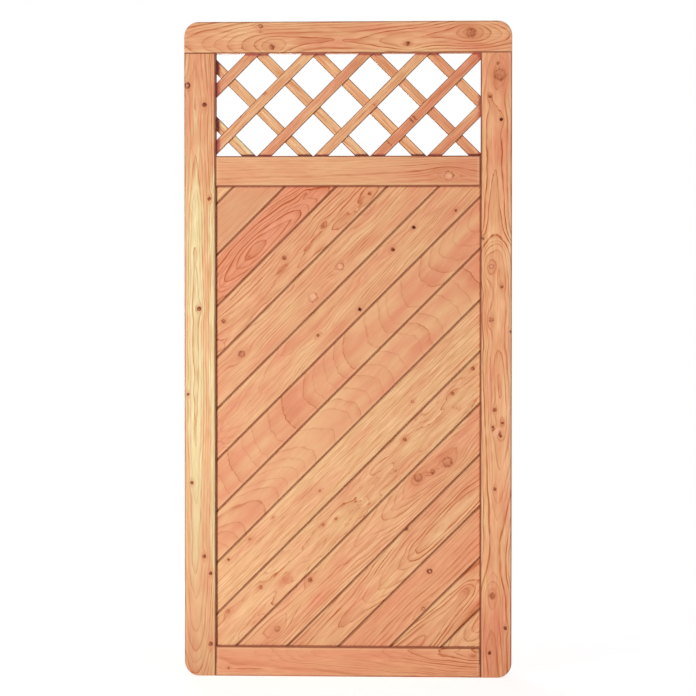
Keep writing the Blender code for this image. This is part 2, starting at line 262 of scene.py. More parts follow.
def make_knot_group():
    """One branch through the timber: it bends the grain round itself and lifts the rings."""
    tree, given, result = node_group("larch_knot", "Shader", {
        "Vector": ("Place", "Ruffle"),
        "Float": ("Along", "Across", "Radius", "Length", "Reach", "Tone", "Bleach", *knot_words),
    }, {"Float": knot_words})
    stretch, lift, lift_fall = 1.9, 1.1, 0.6
    lift_slope_along, lift_slope_across = -0.37, -1.32
    halo_edge, core_edge = (0.6, 2.3), (0.65, 1.2)
    place, ruffle = parts_of(given["Place"]), parts_of(given["Ruffle"])
    along = minus(place["X"], given["Along"])
    across = minus(place["Z"], given["Across"])
    drawn = over(along, stretch)
    oval = times_plus(drawn, drawn, times(across, across))
    far = over(oval, times(given["Reach"], given["Reach"]))
    oval = over(calc("SQRT", oval), given["Radius"])
    pull = calc("MINIMUM", over(1.0, calc("MAXIMUM", far, 0.01)), 1.0)
    push = times(across, pull)
    swell = over(1.0, times_plus(far, lift_fall, 1.0))
    rise = times(times(given["Reach"], lift), swell)
    steep = over(times(swell, swell), given["Reach"])
    slope_along = times(times(along, steep), lift_slope_along)
    slope_across = times(times(across, steep), lift_slope_across)
    rough = over(times_plus(given["Radius"], 0.06, 0.6), given["Length"])
    along = times_plus(ruffle["X"], rough, over(along, given["Length"]))
    across = times_plus(ruffle["Z"], rough, across)
    away = calc("SQRT", times_plus(along, along, times(across, across)))
    near = over(away, given["Radius"])
    core = ramp(near, *core_edge, 1.0, 0.0)
    halo = ramp(oval, *halo_edge, 1.0, 0.0)
    changes = {
        "Shift": minus(given["Shift"], push),
        "Bulge": plus(given["Bulge"], rise),
        "Hold": calc("MAXIMUM", given["Hold"], pull),
        "Slope Along": plus(given["Slope Along"], slope_along),
        "Slope Across": plus(given["Slope Across"], slope_across),
        "Core": calc("MAXIMUM", given["Core"], core),
        "Halo": calc("MAXIMUM", given["Halo"], halo),
        "Rim": blended_value(core, given["Rim"], near),
        "Spoke": blended_value(core, given["Spoke"], calc("ARCTAN2", across, along)),
        "Dark": blended_value(halo, given["Dark"], given["Tone"]),
        "Pale": blended_value(halo, given["Pale"], given["Bleach"]),
    }
    for word, value in changes.items():
        tree.links.new(value, result[word])
    return tree


def stretched_noise(place, drift, stretch, detail, roughness=0.5):
    """Noise drawn out along the grain: stretch gives its size in millimetres along, deep, across."""
    moved = vector_calc("ADD", place, drift)
    return fitted(place.id_data, "ShaderNodeTexNoise", {
        "Vector": vector_calc("MULTIPLY", moved, tuple(1 / size for size in stretch)),
        "Scale": 1.0, "Detail": detail, "Roughness": roughness}).outputs


def centred_noise(*noise):
    """The same noise as a number round nought."""
    return minus(stretched_noise(*noise)[0], 0.5)


grain_step = 6.0
seed_drift = (1370.0, 57.0, 231.0)


def make_grain_group():
    """Growth rings round a pith, cut by the timber's faces, with fibres, sapwood, knots, and stain that
    also paints shade along the edges.
    """
    tree, given, result = node_group("larch_grain", "Shader", {
        "Vector": ("Place",),
        "Float": ("Pith Across", "Pith Depth", "Depth Ahead", "Ring Width", "Line Width", "Wander", "Lines",
                  "Red", "Shade", "Streaks", "Patches", "Sap From", "Pale Within", "Half Length",
                  "Half Width", "Half Depth", "Outer Side", "Stain", "Stain Reach", "Seed", *knot_words),
    }, {"Color": ("Color",), "Float": ("Roughness", "Height")})
    place = given["Place"]
    parts = parts_of(place)
    drift = scaled(seed_drift, given["Seed"])

    # The rings' distance from the pith, here and one step further along the grain.
    slow_bend, quick_bend, quick_share = (210, 60, 55), (60, 20, 18), 0.28
    radii = []
    across = minus(plus(parts["Z"], given["Shift"]), given["Pith Across"])
    for ahead, pith in ((grain_step, given["Depth Ahead"]), (0.0, given["Pith Depth"])):
        there = vector_calc("ADD", place, (ahead, 0, 0))
        slow = stretched_noise(there, drift, slow_bend, 2.0)["Color"]
        slow = parts_of(scaled(vector_calc("SUBTRACT", slow, (0.5,) * 3), given["Wander"]))
        aside = plus(across, slow["X"])
        depth = minus(plus(pith, slow["Y"]), given["Bulge"])
        deep = minus(plus(parts["Y"], given["Half Depth"]), depth)
        out = calc("SQRT", times_plus(aside, aside, times(deep, deep)))
        radii.append(out)
    radius_ahead, radius = radii
    wiggle = centred_noise(place, drift, quick_bend, 2.0, 0.55)
    wiggle = times(wiggle, times(given["Wander"], quick_share))

    # Each ring's number and weight, and the width of its late wood where the face cuts it aslant.
    year_pace, year_spread, late_shares = 0.31, 1.7, (0.02, 0.6)
    late_rise, late_fall, least_bold, more_bold = (0.0, 0.2), (0.3, 1.0), 0.45, 0.8
    dusk_rise, dusk_fall, dusk_share = (0.2, 0.95), (0.96, 1.0), 0.4
    count = over(plus(wiggle, radius), given["Ring Width"])
    years = fitted(tree, "ShaderNodeTexNoise", {
        "W": times_plus(count, year_pace, given["Seed"]), "Scale": 1.0, "Detail": 1.0,
    }, noise_dimensions="1D").outputs[0]
    count = times_plus(years, year_spread, count)
    ring = calc("FRACT", count)
    year = plus(calc("FLOOR", count), given["Seed"])
    weight = fitted(tree, "ShaderNodeTexWhiteNoise", {"W": year}, noise_dimensions="1D").outputs["Value"]
    lean = over(deep, radius)
    along_rise = over(minus(radius_ahead, radius), grain_step)
    along_rise = times_plus(lean, given["Slope Along"], along_rise)
    free = minus(1.0, given["Hold"])
    side_rise = times(over(aside, radius), free)
    side_rise = times_plus(lean, given["Slope Across"], side_rise)
    rise = times(along_rise, along_rise)
    rise = calc("SQRT", times_plus(side_rise, side_rise, rise))
    share = over(times(rise, given["Line Width"]), given["Ring Width"])
    phase = over(minus(1.0, ring), clamped(share, *late_shares))
    late = times(ramp(phase, *late_rise), ramp(phase, *late_fall, 1.0, 0.0))
    bold = times_plus(times(weight, weight), more_bold, least_bold)
    late = times(late, bold)
    dusk = times(ramp(ring, *dusk_rise), ramp(ring, *dusk_fall, 1.0, 0.0))
    late = calc("MAXIMUM", late, times(times(dusk, weight), dusk_share))

    # The wood between the rings: red heart, pale sap, streaks and fibres.
    sap_ragged, sap_edge, pith_edge, fine_share, fibre_share = 33.0, (-5.0, 7.0), (-3.0, 5.0), 1.1, 0.25
    fade_span, fade_ends, sap_fade = (0.36, 0.6), (0.55, 1.1), -0.2
    fibre = centred_noise(place, drift, (26, 0.9, 0.9), 2.0)
    streak = centred_noise(place, drift, (150, 12, 9), 2.0, 0.6)
    fine = centred_noise(place, drift, (48, 4, 3.4), 1.0, 0.6)
    patch = centred_noise(place, drift, (150, 50, 38), 2.0)
    red = clamped(times_plus(patch, given["Patches"], given["Red"]))
    ragged = times_plus(streak, times(given["Streaks"], sap_ragged), radius)
    outer = ramp(minus(ragged, given["Sap From"]), *sap_edge)
    inner = ramp(minus(given["Pale Within"], ragged), *pith_edge)
    sap = calc("MAXIMUM", outer, inner)
    wood = blended(sap, blended(red, honey, salmon), sapwood)
    mood = times_plus(times_plus(fine, fine_share, streak), given["Streaks"], 0.5)
    wood = blended(1.0, wood, blended(mood, shaded_streak, creamy_streak), "MULTIPLY")
    wood = scaled(wood, times(times_plus(fibre, fibre_share, 1.0), given["Shade"]))

    fade = ramp(stretched_noise(place, drift, (60, 20, 14), 1.0)[0], *fade_span, *fade_ends)
    lines = times(times(late, given["Lines"]), fade)
    lines = times(lines, times_plus(sap, sap_fade, 1.0))
    wood = blended(lines, wood, latewood)
    blush = times(given["Halo"], times_plus(given["Pale"], -0.4, 0.55))
    wood = blended(blush, wood, knot_halo)

    # The knots' faces: red to black, some with a pale middle, a broken rim and splits.
    least_dark, more_dark, mottle_share, side_share = 0.22, 0.9, 1.6, 0.16
    rim_span, rim_gaps, rim_ends, open_span = (0.45, 0.9), (0.4, 0.6), (0.05, 0.75), (-0.5, 0.4)
    middle_span, middle_share, split_span, split_share = (0.35, 0.85), -1.1, (0.02, 0.09), 0.6
    mottle = centred_noise(place, drift, (4.5, 4.5, 4.5), 2.0)
    round_it = calc("SINE", plus(given["Spoke"], given["Seed"]))
    dark = times_plus(given["Dark"], more_dark, least_dark)
    dark = times_plus(mottle, mottle_share, dark)
    dark = times_plus(round_it, side_share, dark)
    broken = ramp(stretched_noise(place, drift, (14, 14, 14), 1.0)[0], *rim_gaps, *rim_ends)
    rim = times(ramp(given["Rim"], *rim_span), broken)
    open_side = times_plus(given["Dark"], -1.2, given["Pale"])
    open_side = times(ramp(round_it, *open_span), calc("MAXIMUM", open_side, 0.0))
    dark = times_plus(rim, times_plus(given["Dark"], 0.8, 0.45), dark)
    inside = times_plus(given["Dark"], 0.6, given["Rim"])
    inside = times(ramp(inside, *middle_span, 1.0, 0.0), given["Pale"])
    dark = clamped(times_plus(inside, middle_share, dark))
    heart = blended(dark, knot_halo, blended(given["Dark"], knot_red, knot_black))
    spokes = calc("SINE", times_plus(given["Spoke"], 1.5, times(patch, 9.0)))
    split = times(calc("ABSOLUTE", spokes), given["Rim"])
    clear = times_plus(given["Pale"], -0.5, 0.5)
    split = times(ramp(split, *split_span, 1.0, 0.0), clear)
    heart = blended(times(split, split_share), heart, knot_black)
    speckle = times(inside, times_plus(mottle, 2.0, 0.92))
    heart = blended(speckle, heart, knot_cream)
    shut = calc("MAXIMUM", inside, times_plus(open_side, -0.9, 1.0))
    wood = blended(times(given["Core"], shut), wood, heart)

    # Stain at the seams that also stands for painted shade in the gaps and reveals along every arris, and
    # the paler wood beside it.
    stain_span, pale_band_rise, pale_band_fall, pale_band_share = (0.45, 1.0), (0.9, 1.2), (1.5, 2.3), 0.2
    inner_span, inner_share = (2.0, 8.0), 0.45
    past = minus(given["Half Depth"], calc("ABSOLUTE", parts["Y"]))
    side = minus(given["Half Width"], calc("ABSOLUTE", parts["Z"]))
    end = minus(given["Half Length"], calc("ABSOLUTE", parts["X"]))
    near = calc("MINIMUM", side, calc("ABSOLUTE", end))
    near = over(plus(near, calc("MAXIMUM", past, 0.0)), given["Stain Reach"])
    pale_band = times(ramp(near, *pale_band_rise), ramp(near, *pale_band_fall, 1.0, 0.0))
    wood = blended(times(pale_band, pale_band_share), wood, sapwood)
    # Painted shade is full on the edges that face the openings and weaker on the panel's outer edges.
    outer = ramp(times(given["Outer Side"], parts["Z"]), *inner_span, 1.0, inner_share)
    stain = times(ramp(near, *stain_span, 1.0, 0.0), given["Stain"])
    wood = blended(times(stain, outer), wood, seam_stain_and_shade)

    # The surface: late wood stands proud and is smoother, fibres show and splits go in.
    late_rough, fibre_rough, wood_rough = -0.08, 0.25, 0.5
    late_height, fibre_height, split_height = 0.04, 0.05, -0.35
    tree.links.new(wood, result["Color"])
    rough = times_plus(late, late_rough, times_plus(fibre, fibre_rough, wood_rough))
    tree.links.new(rough, result["Roughness"])
    height = times_plus(late, late_height, times(fibre, fibre_height))
    height = times_plus(times(split, given["Core"]), split_height, height)
    tree.links.new(height, result["Height"])
    return tree


def make_painted_shade_group():
    """Painted shade in the corner where a filling goes into its groove, all round an opening."""
    tree, given, result = node_group("groove_painted_shade", "Shader", {
        "Vector": ("Place",), "Color": ("Wood", "Tint"),
        "Float": ("Half Width", "Foot", "Head", "Lean", "Side Reach", "Reach", "Amount"),
    }, {"Color": ("Color",)})
    place = parts_of(given["Place"])
    from_middle = calc("ABSOLUTE", minus(place["X"], given["Lean"]))
    side = over(minus(given["Half Width"], from_middle), given["Side Reach"])
    rise = minus(place["Z"], given["Foot"])
    fall = minus(given["Head"], place["Z"])
    near = calc("MINIMUM", side, over(calc("MINIMUM", rise, fall), given["Reach"]))
    blotch = fitted(tree, "ShaderNodeTexNoise", {
        "Vector": given["Place"], "Scale": 0.12, "Detail": 2.0}).outputs[0]
    near = times_plus(minus(blotch, 0.5), 0.8, near)
    share = times(ramp(near, 0.35, 1.0, 1.0, 0.0), given["Amount"])
    tree.links.new(blended(share, given["Wood"], given["Tint"]), result["Color"])
    return tree


knot_group = make_knot_group()
grain_group = make_grain_group()
painted_shade_group = make_painted_shade_group()


def along_the_grain(along, points):
    """A value that runs smoothly through (distance along, value) points in millimetres."""
    starts, values = zip(*points)
    low, high = min(values), max(values)
    share = fitted(along.id_data, "ShaderNodeMapRange", {
        "Value": along, "From Min": starts[0], "From Max": starts[-1]}).outputs[0]
    node = fitted(along.id_data, "ShaderNodeFloatCurve", {"Value": share})
    bends = node.mapping.curves[0].points
    while len(bends) < len(points):
        bends.new(0.5, 0.5)
    for bend, start, value in zip(bends, starts, values):
        bend.location = ((start - starts[0]) / (starts[-1] - starts[0]), (value - low) / (high - low))
    node.mapping.update()
    return times_plus(node.outputs[0], high - low, low)


millimetre = 0.001
ruffle_scale = 0.2
ruffle_size = 7.0


def larch(name, centre, angle, knots=(), opening=None, **timber):
    """A larch finish whose grain runs at an angle through a centre. Knots are given as panel
    X and Z, radius, darkness, paleness, the reach of their rings and their length in radii,
    in millimetres. A value may be (panel X or Z, value) points instead of one number."""
    finish, tree = blank_material(name)
    object_place = fitted(tree, "ShaderNodeTexCoord").outputs["Object"]
    place = fitted(tree, "ShaderNodeMapping", {
        "Vector": object_place, "Location": centre, "Rotation": (0, -angle, 0), "Scale": (millimetre,) * 3,
    }, vector_type="TEXTURE").outputs[0]
    ruffle = fitted(tree, "ShaderNodeTexNoise", {"Vector": place, "Scale": ruffle_scale, "Detail": 1.0})
    ruffle = vector_calc("SUBTRACT", ruffle.outputs["Color"], (0.5,) * 3)
    ruffle = vector_calc("MULTIPLY", ruffle, (ruffle_size,) * 3)
    bent = {}
    for x, z, radius, dark, *more in knots:
        pale, reach, length = more + [0.0, radius, 1.0][len(more):]
        aside, up = x - 1000 * centre[0], z - 1000 * centre[2]
        knot = fitted(tree, "ShaderNodeGroup", bent | {
            "Place": place, "Ruffle": ruffle, "Radius": radius, "Length": length, "Reach": reach,
            "Along": aside * math.cos(angle) + up * math.sin(angle),
            "Across": up * math.cos(angle) - aside * math.sin(angle), "Tone": dark, "Bleach": pale,
        }, node_tree=knot_group)
        bent = {word: knot.outputs[word] for word in knot_words}
    values = {
        "Pith Across": 0.0, "Pith Depth": 55.0, "Ring Width": 5.8, "Line Width": 6.5, "Wander": 16.0,
        "Lines": 0.8, "Red": 0.45, "Shade": 1.0, "Streaks": 0.9, "Patches": 2.2, "Sap From": 900.0,
        "Pale Within": 0.0, "Half Length": 9000.0, "Half Width": 900.0, "Half Depth": 0.0,
        "Outer Side": 0.0, "Stain": 0.0, "Stain Reach": 4.4, "Seed": 1.0,
    }
    values.update({word.replace("_", " ").title(): value for word, value in timber.items()})
    upright_grain = abs(math.cos(angle)) < 0.5
    origin, slant = (centre[2], 1.0) if upright_grain else (centre[0], math.cos(angle))

    def run(value, along):
        """A number as it is, and points as a curve along the grain."""
        if not isinstance(value, list):
            return value
        points = sorted(((at - 1000 * origin) / slant, amount) for at, amount in value)
        return along_the_grain(along, points)

    along = parts_of(place)["X"]
    inputs = {word: run(value, along) for word, value in values.items()}
    inputs["Depth Ahead"] = run(values["Pith Depth"], plus(along, grain_step))
    grain = fitted(tree, "ShaderNodeGroup", bent | {"Place": place} | inputs, node_tree=grain_group).outputs
    colour = grain["Color"]
    # Painted shade round the opening that the filling is let into.
    if opening:
        panel_place = vector_calc("MULTIPLY", object_place, (1000,) * 3)
        colour = fitted(tree, "ShaderNodeGroup", {"Place": panel_place, "Wood": colour} | opening,
                        node_tree=painted_shade_group).outputs[0]
    bump = fitted(tree, "ShaderNodeBump", {"Strength": 0.6, "Distance": 0.001, "Height": grain["Height"]})
    skin = fitted(tree, "ShaderNodeBsdfPrincipled", {
        "Base Color": colour, "Roughness": grain["Roughness"], "Specular IOR Level": 0.16,
        "Normal": bump.outputs[0]})
    fitted(tree, "ShaderNodeOutputMaterial", {"Surface": skin.outputs[0]})
    return finish


crease_angle = math.radians(32)


def smooth_piece(name, mesh, finish):
    """Puts a finished mesh into the scene with rounded shading between its sharp edges."""
    mesh.name = name
    mesh.shade_smooth()
    mesh.set_sharp_from_angle(angle=crease_angle)
    mesh.materials.clear()
    mesh.materials.append(finish)
    piece = bpy.data.objects.new(name, mesh)
    scene.collection.objects.link(piece)
    evened = piece.modifiers.new("even_faces", "WEIGHTED_NORMAL")
    evened.keep_sharp = True
    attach(piece, root)
    return piece


frame_half_depth = 22.5
stile_half_width = 43.0
rail_half_length = 364
same_plane_angle = math.radians(0.5)
seam_gap = 0.000005


def planed_timber(node, angle, knots=(), **timber):
    """A frame timber with the joints that the model gives it, and larch through and through."""
    low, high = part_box(node)
    centre = tuple((a + b) / 2 for a, b in zip(low, high))
    stock = bmesh.new()
    stock.from_mesh(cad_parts[node].data)
    bmesh.ops.remove_doubles(stock, verts=stock.verts, dist=seam_gap)
    bmesh.ops.dissolve_limit(stock, angle_limit=same_plane_angle, verts=stock.verts, edges=stock.edges)
    bmesh.ops.recalc_face_normals(stock, faces=stock.faces)
    mesh = bpy.data.meshes.new(node)
    stock.to_mesh(mesh)
    stock.free()
    # The stain along each timber's arrises also paints the shade of its joints and reveals.
    timber = {"stain": 0.8, "half_depth": frame_half_depth, "half_width": stile_half_width} | timber
    piece = smooth_piece(f"{node}_larch", mesh, larch(node, centre, angle, knots, **timber))
    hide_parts(node)


upright = math.radians(90)
planed_timber(
    "left_stile", upright, seed=2.3, pith_across=12, ring_width=4.6, wander=8, outer_side=1,
    pith_depth=[(-50, 66), (65, 48), (190, 39), (480, 28), (895, 22), (1250, 26), (1403, 31), (1720, 40)],
    pale_within=32,
    sap_from=[(-50, 92), (65, 80), (190, 62), (480, 49), (900, 43), (1300, 47), (1440, 66), (1720, 90)],
    red=[(-50, 0.5), (200, 0.15), (480, -0.2), (900, -0.5), (1300, -0.25), (1450, 0.35), (1720, 0.7)],
    lines=[(-50, 0.85), (400, 0.65), (800, 0.85), (1720, 0.85)],
    streaks=[(-50, 0.5), (450, 0.55), (900, 0.9), (1720, 0.9)],
    shade=[(-50, 0.91), (450, 0.93), (700, 1), (1720, 1)],
    knots=[(-441, 1626, 9, 0.6, 0.5), (-394, 1573, 7, 0.7), (-381, 1315, 5.5, 0.5), (-409, 1013, 6, 0.65),
           (-441, 777, 5, 0.6), (-430, 533, 5, 0.6), (-396, 330, 6, 0.5), (-378, 283, 5, 0.75),
           (-378, 88, 7, 0.4)])
planed_timber(
    "right_stile", upright, seed=5.1, ring_width=5.6, wander=9, outer_side=-1, stain=1,
    lines=[(-50, 1.2), (120, 1), (300, 0.72), (700, 0.74), (900, 0.95), (1480, 0.87), (1600, 0.6),
           (1650, 0.45), (1720, 0.5)],
    shade=[(-50, 1.01), (250, 1.02), (1000, 1.07), (1500, 1.09), (1720, 1.12)],
    red=[(-50, 1.15), (250, 0.6), (700, 0.4), (1000, 0.36), (1500, 0.5), (1720, 0.8)],
    pith_across=[(-50, 4), (225, 9), (313, 4), (428, -4), (554, -12), (697, -14), (890, -6), (1041, -5),
                 (1217, 2), (1560, 6), (1720, -8)],
    pith_depth=[(-50, 30), (100, 34), (225, 40), (350, 49), (428, 45), (554, 35), (700, 27), (780, 24),
                (880, 27), (920, 31), (1025, 33), (1060, 37), (1100, 38), (1165, 42), (1215, 54),
                (1240, 57), (1500, 60), (1560, 64), (1600, 68), (1720, 74)],
    knots=[(417, 1653, 20, 0.1, 0.1, 15), (412, 1683, 5, 0.3), (389, 1593, 5.5, 0.4),
           (420, 1530, 5.5, 1), (370, 1205, 5, 0.6), (394, 1129, 9, 0.25, 0.6, 17),
           (422, 1074, 5.5, 0.4), (394, 983, 8, 0.2, 0.1, 10), (447, 950, 4, 0.5),
           (408, 675, 14, -0.4, 1, 4), (403, 736, 6.5, 0.3), (425, 700, 5, 0.5),
           (398, 689, 4.5, 0.5), (420, 665, 5, 0.5), (404, 519, 5, 0.5), (398, 225, 10, 0.3, 0, 10),
           (433, 137, 6, 0.55), (390, 69, 5.5, 0.65)])
planed_timber(
    "top_rail", 0, seed=7.7, ring_width=6.2, wander=8, lines=0.9, streaks=0.85,
    half_width=43.5, outer_side=1,
    shade=[(-460, 1.02), (0, 1.04), (460, 1.1)], red=[(-460, 0.35), (0, 0.4), (460, 0.5)],
    pith_across=[(-460, -14), (-208, -17), (-60, -8), (40, -8), (165, -4), (340, 8), (460, 2)],
    pith_depth=[(-460, 72), (-360, 57), (-240, 40), (-170, 37), (-60, 38), (40, 36), (120, 30), (250, 26),
                (340, 26), (400, 32), (460, 42)],
    knots=[(-208, 1730, 8, 0.3, 0, 13), (-239, 1788, 7, 0.35, 0.4), (-239, 1773, 4, 0.1, 0.3),
           (337, 1768, 15, 0.05, 0, 15), (165, 1738, 6, 0.6, 0, 8)])
planed_timber(
    "middle_rail", 0, seed=3.9, wander=10, patches=1.6, streaks=0.5,
    half_length=rail_half_length, half_width=41.5, pith_across=-58,
    pith_depth=[(-380, 62), (0, 56), (277, 50), (380, 58)],
    red=[(-380, 0.45), (0, 0.4), (200, 0.6), (380, 0.9)],
    lines=[(-380, 0.35), (120, 0.4), (220, 0.9), (300, 0.7), (380, 0.4)],
    knots=[(277, 1376, 18, 0.2, 1, 15), (313, 1376, 3, -0.4, 0, 3, 5), (247, 1384, 2, -0.3, 0, 3, 7)])
planed_timber(
    "bottom_rail", 0, seed=8.4, shade=1.05, ring_width=4.8, red=0.7, patches=1, streaks=0.5,
    half_length=rail_half_length, half_width=41, outer_side=-1, pith_across=30,
    pith_depth=[(-380, 84), (-100, 67), (100, 53), (250, 40), (350, 29), (380, 27)],
    lines=[(-380, 0.4), (100, 0.5), (200, 0.9), (380, 1.4)],
    knots=[(-329, 22, 3.5, 0.3, 0, 5), (-276, 20, 1.6, -0.3, 0, 3, 28), (345, 60, 5, -0.3, 0, 5, 2)])

# The infill: fifteen tongue-and-groove larch boards, 19 mm thick and covering 100 mm, laid at 45
# degrees with their tongues up. Their ends sit loose in the frame's groove, free to swell.
board_thickness = 19.0
board_cover = 100.0
board_face = board_cover - 0.8
board_slope = math.radians(45)
board_first_shift = 670.8
board_opening = (728.0, 1267.0)
board_opening_middle = 0.7155
board_arris = 0.0004
board_stock_length = 2.0
groove_hold = 13.0
weld_gap = 0.000002


def make_stick_tree():
    """Stock swept from its section, laid at an angle across an opening and trimmed to it."""
    tree, given, result = node_group("diagonal_stick", "Geometry", {
        "Geometry": ("Geometry",), "Material": ("Finish",),
        "Float": ("Length", "Angle", "Shift", "Opening Width", "Opening Height", "Opening Middle", "Arris"),
    }, {"Geometry": ("Geometry",)})

    def vector(**parts):
        """A vector from the parts that aren't nought."""
        return fitted(tree, "ShaderNodeCombineXYZ", parts).outputs[0]

    half = times(given["Length"], 0.5)
    run = fitted(tree, "GeometryNodeCurvePrimitiveLine", {
        "Start": vector(X=times(half, -1.0)), "End": vector(X=half)}).outputs[0]
    section = fitted(tree, "GeometryNodeMeshToCurve", {"Mesh": given["Geometry"]}).outputs[0]
    section = fitted(tree, "GeometryNodeFilletCurve", {
        "Curve": section, "Count": 2, "Radius": given["Arris"], "Limit Radius": True,
    }, mode="POLY").outputs[0]
    stock = fitted(tree, "GeometryNodeCurveToMesh", {
        "Curve": run, "Profile Curve": section, "Fill Caps": True}).outputs[0]
    across = times(calc("SINE", given["Angle"]), given["Shift"])
    up = times(calc("COSINE", given["Angle"]), given["Shift"])
    laid = fitted(tree, "GeometryNodeTransform", {
        "Geometry": stock, "Rotation": vector(Y=times(given["Angle"], -1.0)),
        "Translation": vector(X=times(across, -1.0), Z=plus(up, given["Opening Middle"])),
    }).outputs[0]
    room = fitted(tree, "GeometryNodeMeshCube", {
        "Size": vector(X=given["Opening Width"], Y=0.1, Z=given["Opening Height"])}).outputs[0]
    room = fitted(tree, "GeometryNodeTransform", {
        "Geometry": room, "Translation": vector(Z=given["Opening Middle"])}).outputs[0]
    trim = fitted(tree, "GeometryNodeMeshBoolean", operation="INTERSECT", solver="EXACT")
    tree.links.new(laid, trim.inputs["Mesh 2"])
    tree.links.new(room, trim.inputs["Mesh 2"])
    single = fitted(tree, "GeometryNodeRealizeInstances", (trim.outputs[0],)).outputs[0]
    done = fitted(tree, "GeometryNodeSetMaterial", {"Geometry": single, "Material": given["Finish"]})
    tree.links.new(done.outputs[0], result["Geometry"])
    return tree


def grown_mesh(name, base, tree, values):
    """Runs a geometry tree on a base mesh with its inputs set by name, and keeps the plain result."""
    seedling = bpy.data.objects.new(name, base)
    scene.collection.objects.link(seedling)
    modifier = seedling.modifiers.new("made", "NODES")
    modifier.node_group = tree
    for item in tree.interface.items_tree:
        if item.in_out == "INPUT" and item.name in values:
            modifier[item.identifier] = values[item.name]
    bpy.context.view_layer.update()
    made = seedling.evaluated_get(bpy.context.evaluated_depsgraph_get())
    grown = bpy.data.meshes.new_from_object(made)
    bpy.data.objects.remove(seedling)
    welded = bmesh.new()
    welded.from_mesh(grown)
    bmesh.ops.remove_doubles(welded, verts=welded.verts, dist=weld_gap)
    bmesh.ops.recalc_face_normals(welded, faces=welded.faces)
    welded.to_mesh(grown)
    welded.free()
    return grown


def laid_stick(name, outline, finish, slope, shift, opening, middle, length, arris):
    """A board or slat swept from (across, depth) points in millimetres and laid over an opening."""
    section = bpy.data.meshes.new(name)
    points = [(-depth / 1000, -across / 1000, 0) for across, depth in outline]
    section.from_pydata(points, [(i, (i + 1) % len(points)) for i in range(len(points))], [])
    return grown_mesh(name, section, stick_tree, {
        "Length": length, "Angle": slope, "Shift": shift / 1000,
        "Opening Width": (opening[0] + 2 * groove_hold) / 1000,
        "Opening Height": (opening[1] + 2 * groove_hold) / 1000,
        "Opening Middle": middle, "Arris": arris, "Finish": finish})


def point_across(slope, shift, middle, depth=0):
    """The panel's point at a shift across a slope from the middle of an opening."""
    return (-shift * math.sin(slope) / 1000, depth / 1000, middle + shift * math.cos(slope) / 1000)


def board_outline():
    """Shoulders a hair apart, chamfered fronts and backs, a slot below and a tongue above."""
    face, slot, tongue, chamfer, slot_depth = board_thickness / 2, 3.3, 3.0, 2.5, 9.8
    shoulder, tip, nose = board_face, board_face + 9.0, 1.0
    front = [(slot_depth, -slot), (0, -slot), (0, chamfer - face), (chamfer, -face),
             (shoulder - chamfer, -face), (shoulder, chamfer - face), (shoulder, -tongue),
             (tip - nose, -tongue), (tip, nose - tongue)]
    return front + [(across, -depth) for across, depth in reversed(front)]


stick_tree = make_stick_tree()

